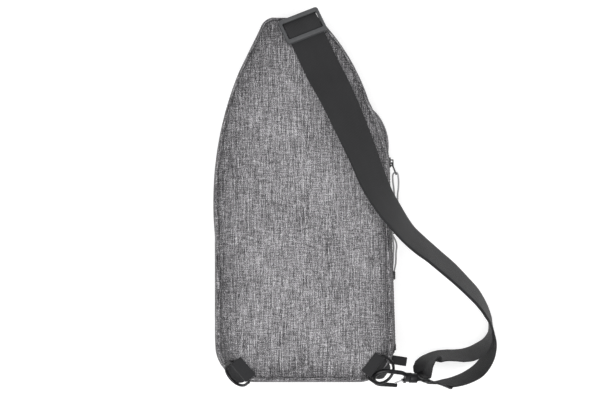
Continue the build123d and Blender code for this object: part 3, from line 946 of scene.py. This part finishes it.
def pocketBand():
    look = shellLook
    y = pocketLoop[:, 1]
    zPocket = pocketSeamHeight - 1.3
    zFront = np.full(ringCount, bagShape["mainFront"]) + 0.6
    tall = np.maximum(zFront - zPocket, 2.0)
    shoulder = np.minimum(9.0, tall * 0.6)
    wave = smoothLoop(softNoise(pocketLoop, 22.0, 9.0), 4)
    rows = Rows(pocketLoop, pocketNormals)
    rows.add(-(look["frontInset"] + 1.5), zFront + 0.5, 0)
    rows.add(-1.6, zFront - tall * 0.04, 4)
    rows.add(-0.3, zFront - tall * 0.12, 6)
    top = zPocket + shoulder
    for f in (0.35, 0.7):
        rows.add(0.7 + wave * 0.5, zFront - tall * 0.12 + (top - zFront + tall * 0.12) * f, 6 + f * 12)
    start = look["pocketInset"] - 1.2
    for x, drop in reversed(quarter(6)):
        rows.add(0.4 * x - start * (1 - x), zPocket + 0.8 + (shoulder - 0.8) * drop, 32 - drop * 12)
    rows.add(-(look["pocketInset"] - 0.5), zPocket + 1.0, 33)
    rows.add(-look["pocketInset"], pocketSeamHeight, 34)
    band = bandMesh("pocketBand", rows, rows.kept(), pocketLength)
    attach(band, "bag", "heather_fabric", "pocket_gusset")


pocketBand()


def frontPanels():
    look = shellLook
    ring = pocketSeam
    half = look["pocketSlotHalf"]
    level = look["pocketZip"]
    cuts = [((0.0, level - half), (0.0, 1.0)), ((0.0, level + half), (0.0, 1.0))]
    verts, faces = panelPoints(ring, cuts)
    d = loopDistance(verts, ring)
    fromSlot = np.abs(verts[:, 1] - level) - half
    base = pocketHeight(verts[:, 1])
    edge = 1.6 * np.exp(-(d / 2.4) ** 1.5)
    tuck = 1.2 * np.exp(-(np.maximum(fromSlot, 0) / 1.2) ** 2)
    ripple = softNoise(verts, 28.0, 21.0) * look["ripple"]
    room = np.clip(base / 3.0, 0, 1)
    heights = base + 0.15 + edge + tuck + (ripple + 0.4) * 0.5 * (0.2 + 0.8 * room)
    heights = onRing(verts, ring, np.maximum(heights, 0.12), pocketSeamHeight)
    middle = verts[faces].mean(1)
    gap = np.abs(middle[:, 1] - level) < half
    below = middle[:, 1] < level
    thick = look["backThick"]
    lower = panelPiece("frontLowerPanel", verts, faces, heights, below & ~gap, False, thick, heather)
    attach(lower, "bag", "heather_fabric", "front_lower_panel")
    upper = panelPiece("frontUpperPanel", verts, faces, heights, ~below & ~gap, False, thick, heather)
    attach(upper, "bag", "heather_fabric", "front_upper_panel")


frontPanels()


def mainFront():
    look = shellLook
    ring = mainLoop - mainNormals * (look["frontInset"] - 0.2)
    verts, faces = panelPoints(ring, [])
    d = loopDistance(verts, ring)
    swell = 0.9 * (1 - np.exp(-d / 12.0))
    heights = frontHeight(verts[:, 1]) + 1.0 - swell + softNoise(verts, 30.0, 33.0) * 0.4
    thick = look["sideThick"]
    panel = panelPiece("mainFrontPanel", verts, faces, heights, slice(None), False, thick, heather)
    attach(panel, "bag", "heather_fabric", "divider_wall")


mainFront()
print("front made")


strapLook = {
    "width": 38.0, "thick": 1.4, "layerGap": 0.4, "step": 3.0,
    "eyeWire": 1.8, "eyeGap": 0.4, "eyeReach": 11.5,
}
humpLook = {"half": 9.3, "foot": 1.2, "rise": 2.1, "power": 2.2, "count": 24}
hookOrigin = Vector((114.5, -188.8, 59.9))
hookAxis = Vector((0.955, -0.06, -0.22)).normalized()

outerStations = [
    (-7.2, 193.4, 50.2, 8.5), (-2.0, 182.0, 54.0, 8.5), (6.8, 163.0, 60.4, 8.5),
    (19.1, 136.2, 69.4, 8.5), (32.5, 110.4, 79.5, 18), (51.5, 67.9, 88.0, 31), (61.0, 45.9, 90.6, 37),
    (72.4, 17.7, 92.0, 42), (81.4, 1.1, 90.0, 47), (94.0, -16.6, 82.5, 52), (114.6, -40.9, 67.5, 61),
    (130.5, -53.8, 57.6, 63), (146.1, -66.8, 48.5, 64), (161.8, -80.0, 40.0, 65),
    (175.5, -93.2, 33.0, 68), (188.1, -106.5, 27.0, 71), (196.8, -119.8, 22.8, 76),
    (202.5, -133.0, 20.6, 81), (204.4, -145.0, 19.8, 87), (204.3, -155.8, 19.8, 93),
    (199.3, -169.9, 20.4, 101), (192.2, -180.5, 22.2, 103), (183.0, -188.2, 25.5, 103),
    (170.5, -193.6, 31.0, 100), (158.6, -196.2, 37.5, 97), (144.6, -197.4, 44.5, 94),
]
innerStations = [
    (201.2, -145.0, 20.0, 88), (198.2, -153.4, 20.4, 97), (191.0, -160.5, 21.6, 104),
    (183.2, -165.1, 24.2, 106), (173.0, -167.9, 28.4, 106), (161.8, -168.1, 33.2, 104),
    (150.7, -167.6, 38.4, 102), (140.6, -168.8, 43.0, 102), (131.8, -172.2, 47.5, 102),
]


def ribbonFrames(stations):
    # Centre, width direction from the low edge to the high edge, and face normal
    points = [Vector(s[:3]) for s in stations]
    frames = []
    for i, station in enumerate(stations):
        along = (points[min(i + 1, len(points) - 1)] - points[max(i - 1, 0)]).normalized()
        flat = Vector((along.y, -along.x, 0)).normalized()
        up = (Vector((0, 0, 1)) - along * along.z).normalized()
        lean = math.radians(station[3])
        wide = flat * math.cos(lean) + up * math.sin(lean)
        wide = (wide - along * wide.dot(along)).normalized()
        frames.append((points[i], wide, wide.cross(along).normalized()))
    return frames


def hookUp():
    flat = hookAxis.cross(Vector((0, 0, 1))).normalized()
    if flat.y > 0:
        flat = -flat
    up = flat.cross(hookAxis).normalized()
    return -up if up.z < 0 else up


def strapLine():
    # The whole webbing, from the tip, round the hook's eye and back under itself
    up = hookUp()
    eyeBar = hookOrigin + hookAxis * strapLook["eyeReach"]
    side = hookAxis.cross(up).normalized()
    if side.y > 0:
        side = -side
    turn = strapLook["eyeWire"] + strapLook["eyeGap"] + strapLook["thick"] / 2
    outer = ribbonFrames(outerStations)
    line = [(c, w) for c, w, n in outer]
    endOut = eyeBar + side * turn + hookAxis
    endIn = eyeBar - side * turn + hookAxis
    line.append((endOut + hookAxis * 9, up))
    line.append((endOut, up))
    for i in range(7):
        angle = math.pi * i / 6
        line.append((eyeBar + side * turn * math.cos(angle) - hookAxis * turn * math.sin(angle), up))
    line.append((endIn, up))
    line.append((endIn + hookAxis * 1.5 - side * 6.5, up))
    line += [(c, w) for c, w, n in reversed(ribbonFrames(innerStations))]
    upper = outer[3:19]
    pitch = strapLook["thick"] + strapLook["layerGap"]
    under = -pitch if upper[0][2].z > 0 else pitch
    line += [(c + n * under, w) for c, w, n in reversed(upper[:-2])]
    return line


def slope(before, ahead, span, beside):
    # The curve's pull at a point between two spans, weighted towards the shorter one
    return span * (before / beside * span + ahead / span * beside) / (beside + span)


def smoothLine(line, step):
    # A curve through every centre, with the width turning evenly between them
    centres = np.array([tuple(c) for c, w in line])
    wides = np.array([tuple(w) for c, w in line])
    last = len(centres) - 1
    outC = []
    outW = []
    for i in range(last):
        p0, p1, p2, p3 = (centres[min(max(i + k, 0), last)] for k in (-1, 0, 1, 2))
        span = np.linalg.norm(p2 - p1)
        before = max(np.linalg.norm(p1 - p0), 1e-6)
        after = max(np.linalg.norm(p3 - p2), 1e-6)
        m1 = slope(p1 - p0, p2 - p1, span, before) if i else p2 - p1
        m2 = p2 - p1 if i == last - 1 else slope(p3 - p2, p2 - p1, span, after)
        pieces = max(1, int(math.ceil(span / step)))
        for j in range(pieces):
            t = j / pieces
            ease = 3 * t ** 2 - 2 * t ** 3
            pull = (t ** 3 - 2 * t ** 2 + t) * m1 + (t ** 3 - t ** 2) * m2
            outC.append((1 - ease) * p1 + ease * p2 + pull)
            w = wides[i] * (1 - t) + wides[i + 1] * t
            outW.append(w / np.linalg.norm(w))
    outC.append(centres[-1])
    outW.append(wides[-1])
    return np.array(outC), np.array(outW)


def webbingSection(width, thick):
    # Round-edged section: across, height
    half = width / 2
    t = thick / 2
    flat = list(np.linspace(-half + 0.9, half - 0.9, 9))
    edge = [(half - 0.35, t * 0.86), (half - 0.08, t * 0.5), (half, 0.0)]
    edge += [(a, -b) for a, b in reversed(edge[:2])]
    top = [(a, t) for a in flat]
    bottom = [(a, -t) for a in reversed(flat)]
    return top + edge + bottom + [(-a, -b) for a, b in edge]


def sweepWebbing(name, centres, wides, section, material):
    along = np.gradient(centres, axis=0)
    along /= np.linalg.norm(along, axis=1)[:, None]
    wides = wides - along * (wides * along).sum(1)[:, None]
    wides /= np.linalg.norm(wides, axis=1)[:, None]
    normals = np.cross(wides, along)
    steps = np.concatenate([[0], np.cumsum(np.linalg.norm(np.diff(centres, axis=0), axis=1))])
    verts = []
    uvs = []
    for c, w, n, s in zip(centres, wides, normals, steps):
        for a, b in section:
            verts.append((c + w * a + n * b) * mm)
            uvs.append((a * mm, s * mm))
    count = len(section)
    faces = []
    for i in range(len(centres) - 1):
        for j in range(count):
            k = (j + 1) % count
            faces.append((i * count + j, i * count + k, (i + 1) * count + k, (i + 1) * count + j))
    last = (len(centres) - 1) * count
    faces.append(tuple(range(count))[::-1])
    faces.append(tuple(last + j for j in range(count)))
    piece = newPiece(name, verts, faces, material, uvs)
    outwards(piece)
    return piece


def outwards(piece):
    work = bmesh.new()
    work.from_mesh(piece.data)
    bmesh.ops.recalc_face_normals(work, faces=work.faces)
    work.to_mesh(piece.data)
    work.free()


strapSection = webbingSection(strapLook["width"], strapLook["thick"])
strap = sweepWebbing("shoulderStrap", *smoothLine(strapLine(), strapLook["step"]), strapSection, strapWeb)
attach(strap, "bag", "strap_webbing", "strap_outer_layer", "strap_return_layer", "strap_hook_fold")
print("strap made")


def copyNode(name, node, body, slotName, material, edge=0.0, across=None, along=None, swell=0.0):
    # A merged copy of a node, with small rounded edges. It may be swollen or given a flat weave map
    source = nodes[node]
    mesh = source.data.copy()
    mesh.name = name
    piece = inScene(name, mesh)
    work = bmesh.new()
    work.from_mesh(mesh)
    bmesh.ops.remove_doubles(work, verts=work.verts, dist=2e-6)
    bmesh.ops.dissolve_limit(work, angle_limit=math.radians(1.0), verts=work.verts, edges=work.edges)
    work.normal_update()
    for vert in work.verts:
        vert.co += vert.normal * swell * mm
    work.to_mesh(mesh)
    work.free()
    if edge:
        bevel = piece.modifiers.new("edges", "BEVEL")
        bevel.width = edge * mm
        bevel.segments = 3
        bevel.limit_method = "ANGLE"
        bevel.angle_limit = math.radians(38)
        bevel.harden_normals = False
        applyModifiers(piece)
    mesh = piece.data
    mesh.materials.clear()
    mesh.materials.append(material)
    mesh.polygons.foreach_set("use_smooth", [True] * len(mesh.polygons))
    mesh.set_sharp_from_angle(angle=math.radians(35))
    if across is not None:
        for layer in list(mesh.uv_layers):
            mesh.uv_layers.remove(layer)
        layer = mesh.uv_layers.new(name="weave")
        co = np.array([mesh.vertices[loop.vertex_index].co for loop in mesh.loops])
        flat = np.stack([co @ np.array(across), co @ np.array(along)], 1).astype(np.float32)
        layer.data.foreach_set("uv", flat.ravel())
    return attach(piece, body, slotName, node)


hardware = [
    ("triglideFrame", "triglide_frame", "triglide", "dark_plastic", gliderPlastic, 0.9),
    ("mainSlider", "main_zip_slider", "main_slider", "black_metal", blackMetal, 0.25),
    ("mainPuller", "main_zip_puller", "main_puller", "black_metal", blackMetal, 0.25),
    ("pocketSlider", "pocket_zip_slider", "pocket_slider", "black_metal", blackMetal, 0.25),
    ("pocketPuller", "pocket_zip_puller", "pocket_puller", "black_metal", blackMetal, 0.25),
    ("mainPullTip", "main_pull_tip", "main_puller", "dark_plastic", tipPlastic, 0.9),
    ("pocketPullTip", "pocket_pull_tip", "pocket_puller", "dark_plastic", tipPlastic, 0.9),
    ("mainZipStop", "main_zip_stop", "bag", "black_metal", blackMetal, 0.4),
    ("pocketZipStop", "pocket_zip_stop", "bag", "black_metal", blackMetal, 0.4),
    ("hookEye", "hook_eye", "eye", "black_metal", blackMetal, 0.4),
]
made = {name: copyNode(name, node, body, slot, material, edge)
        for name, node, body, slot, material, edge in hardware}
copyNode("hookBody", "hook_body", "hook", "black_metal", blackMetal, 0.4, swell=0.5)

zipTop = Vector((*bagShape["zipTop"], shellLook["zipLevel"]))
zipFoot = Vector((bagShape["right"], bagShape["bottom"] + bagShape["corner"], shellLook["zipLevel"]))
zipAlong = (zipFoot - zipTop).normalized()
zipOut = Vector((-zipAlong.y, zipAlong.x, 0)).normalized()
webPieces = [
    ("mainZipTape", "main_zip_tape", "zip_tape", tapeCloth, 0.0, (0, 0, 1), tuple(zipAlong)),
    ("pocketZipTape", "pocket_zip_tape", "zip_tape", tapeCloth, 0.0, (0, 1, 0), (1, 0, 0)),
    ("zipEndTab", "zip_end_tab", "tab_webbing", tabWeb, 0.6, (0.156, 0.988, 0), (0.988, -0.156, 0)),
    ("rightRingTab", "right_ring_tab", "tab_webbing", tabWeb, 0.3, (0.6, 0.8, 0), (0.8, -0.6, 0.0)),
    ("leftRingTab", "left_ring_tab", "tab_webbing", tabWeb, 0.3, (-0.654, 0.757, 0), (-0.757, -0.654, 0.0)),
]
for name, node, slotName, material, edge, across, along in webPieces:
    copyNode(name, node, "bag", slotName, material, edge, across, along)


def ringBacking(name, node, seamName, reach, droop):
    # A webbing patch on the sloping corner, under the ring, whose end hangs past the edge
    (sx, sy), (ox, oy) = seams[seamName]
    across = np.linspace(-11.5, 11.5, 25)
    out = np.linspace(3.0, reach, 25)
    verts = []
    uvs = []
    for b in out:
        narrow = 1.0 if b < 10 else math.sqrt(max(0.0, 1 - ((b - 10) / (reach - 9)) ** 2)) * 0.8 + 0.2
        for a in across * narrow:
            x, y = sx + ox * b - oy * a, sy + oy * b + ox * a
            arch = 0.2 * math.cos(a / 4.0) - 0.2
            z = float(slopeHeight(x, y)) + arch - droop * max(0.0, b - 11.0) ** 2
            verts.append((x * mm, y * mm, z * mm))
            uvs.append((a * mm, b * mm))
    wide = len(across)
    faces = []
    for i in range(len(out) - 1):
        for j in range(wide - 1):
            k = i * wide + j
            faces.append((k, k + 1, k + wide + 1, k + wide))
    piece = newPiece(name, verts, faces, tabWeb, uvs)
    if piece.data.polygons[0].normal.z < 0:
        piece.data.flip_normals()
    thicken(piece, 1.1)
    attach(piece, "bag", "tab_webbing", node)


ringBacking("rightRingBacking", "right_ring_backing", "right", 22.5, 0.02)
ringBacking("leftRingBacking", "left_ring_backing", "left", 19.6, 0.0)


def triglideWebbing():
    # The hump of webbing that rides over the triglide's middle bar
    centre, wide, normal = ribbonFrames(outerStations)[1]
    if normal.z < 0:
        normal = -normal
    lengthways = normal.cross(wide).normalized()
    origin = centre + normal * (strapLook["thick"] / 2 + strapLook["layerGap"])
    half = humpLook["half"]
    places = []
    for i in range(humpLook["count"] + 1):
        y = 2 * half * i / humpLook["count"] - half
        z = humpLook["foot"] + humpLook["rise"] * (1 - abs(y / half) ** humpLook["power"])
        places.append(np.array(origin + lengthways * y + normal * z))
    wides = np.array([tuple(wide)] * len(places))
    section = webbingSection(strapLook["width"] - 0.4, strapLook["thick"])
    piece = sweepWebbing("triglideWebbing", np.array(places), wides, section, strapWeb)
    attach(piece, "triglide", "strap_webbing", "triglide_webbing")


triglideWebbing()

plainNodes = {
    "left_d_ring": blackMetal, "right_d_ring": blackMetal, "hook_gate": springSteel,
    "back_panel_lining": liningCloth, "divider_lining": liningCloth,
    "gusset_lining": liningCloth, "pocket_lining": liningCloth,
}
for node, material in plainNodes.items():
    if not nodes[node].material_slots:
        nodes[node].data.materials.append(material)
    for slot in nodes[node].material_slots:
        slot.material = material
print("hardware made")


coilLook = {"Pitch": 1.35 * mm, "Long": 0.95 * mm, "Wide": 3.0 * mm, "High": 1.3 * mm}
coilPlace = {"rowGap": 1.15, "lift": 0.95, "topSpare": 4.0}
stitchPlace = {"zipLift": 0.15, "seamLift": 0.1, "besideSeam": -3.4, "clear": 2.0}


def zipCoil(name, start, end, outward, node):
    # Two rows of coil turns that reach past the middle from either side
    start, end, outward = Vector(start), Vector(end), Vector(outward)
    along = (end - start).normalized()
    across = outward.cross(along).normalized()
    step = coilLook["Pitch"] / mm / 2
    paths = []
    for side, shift in ((-1, 0.0), (1, step)):
        a = start + across * side * coilPlace["rowGap"] + along * shift
        b = end + across * side * coilPlace["rowGap"] + along * shift
        paths.append([tuple(a), tuple(b)])
    settings = dict(coilLook, Facing=tuple(outward))
    coil = beads.run(name, paths, settings, coilNylon)
    attach(coil, "bag", "zip_teeth", node)


coilTop = zipTop - zipAlong * coilPlace["topSpare"] + zipOut * coilPlace["lift"]
coilFoot = zipFoot + zipOut * coilPlace["lift"]
zipCoil("mainZipCoil", coilTop, coilFoot, zipOut, "main_zip_teeth")
zipCoil("pocketZipCoil", (-84, -35, 7.9), (87, -35, 7.9), (0, 0, -1), "pocket_zip_teeth")


def zipStitches():
    # One row of thread on each lip of the main zip
    paths = []
    for row in (sideGap - 4, sideGap + 5):
        points = [tuple(Vector(sideRows[row][i]) + Vector((*mainNormals[i], 0)) * stitchPlace["zipLift"])
                  for i in range(ringCount) if onZip[i]]
        paths.append(points)
    stitches = beads.run("zipStitches", paths, threadLook, stitchThread)
    attach(stitches, "bag", "heather_fabric")


zipStitches()


def surfacePoint(x, y, lift):
    z = backSurface(np.array([[x, y]]), backSeam)[0]
    return (x, y, z + lift)


def cornerStitches():
    # One row of thread beside each diagonal seam
    paths = []
    offset = stitchPlace["besideSeam"]
    for (sx, sy), (ox, oy) in seams.values():
        line = [(sx + ox * offset - oy * s, sy + oy * offset + ox * s) for s in np.arange(-60, 60, 2.0)]
        line = np.array(line)
        line = line[insideLoop(line, backSeam)]
        line = line[loopDistance(line, backSeam) > stitchPlace["clear"]]
        paths.append([surfacePoint(x, y, stitchPlace["seamLift"]) for x, y in line])
    stitches = beads.run("cornerStitches", paths, threadLook, stitchThread)
    attach(stitches, "bag", "heather_fabric")


cornerStitches()
print("zips and stitches made")

bpy.context.scene.view_settings.view_transform = "Standard"
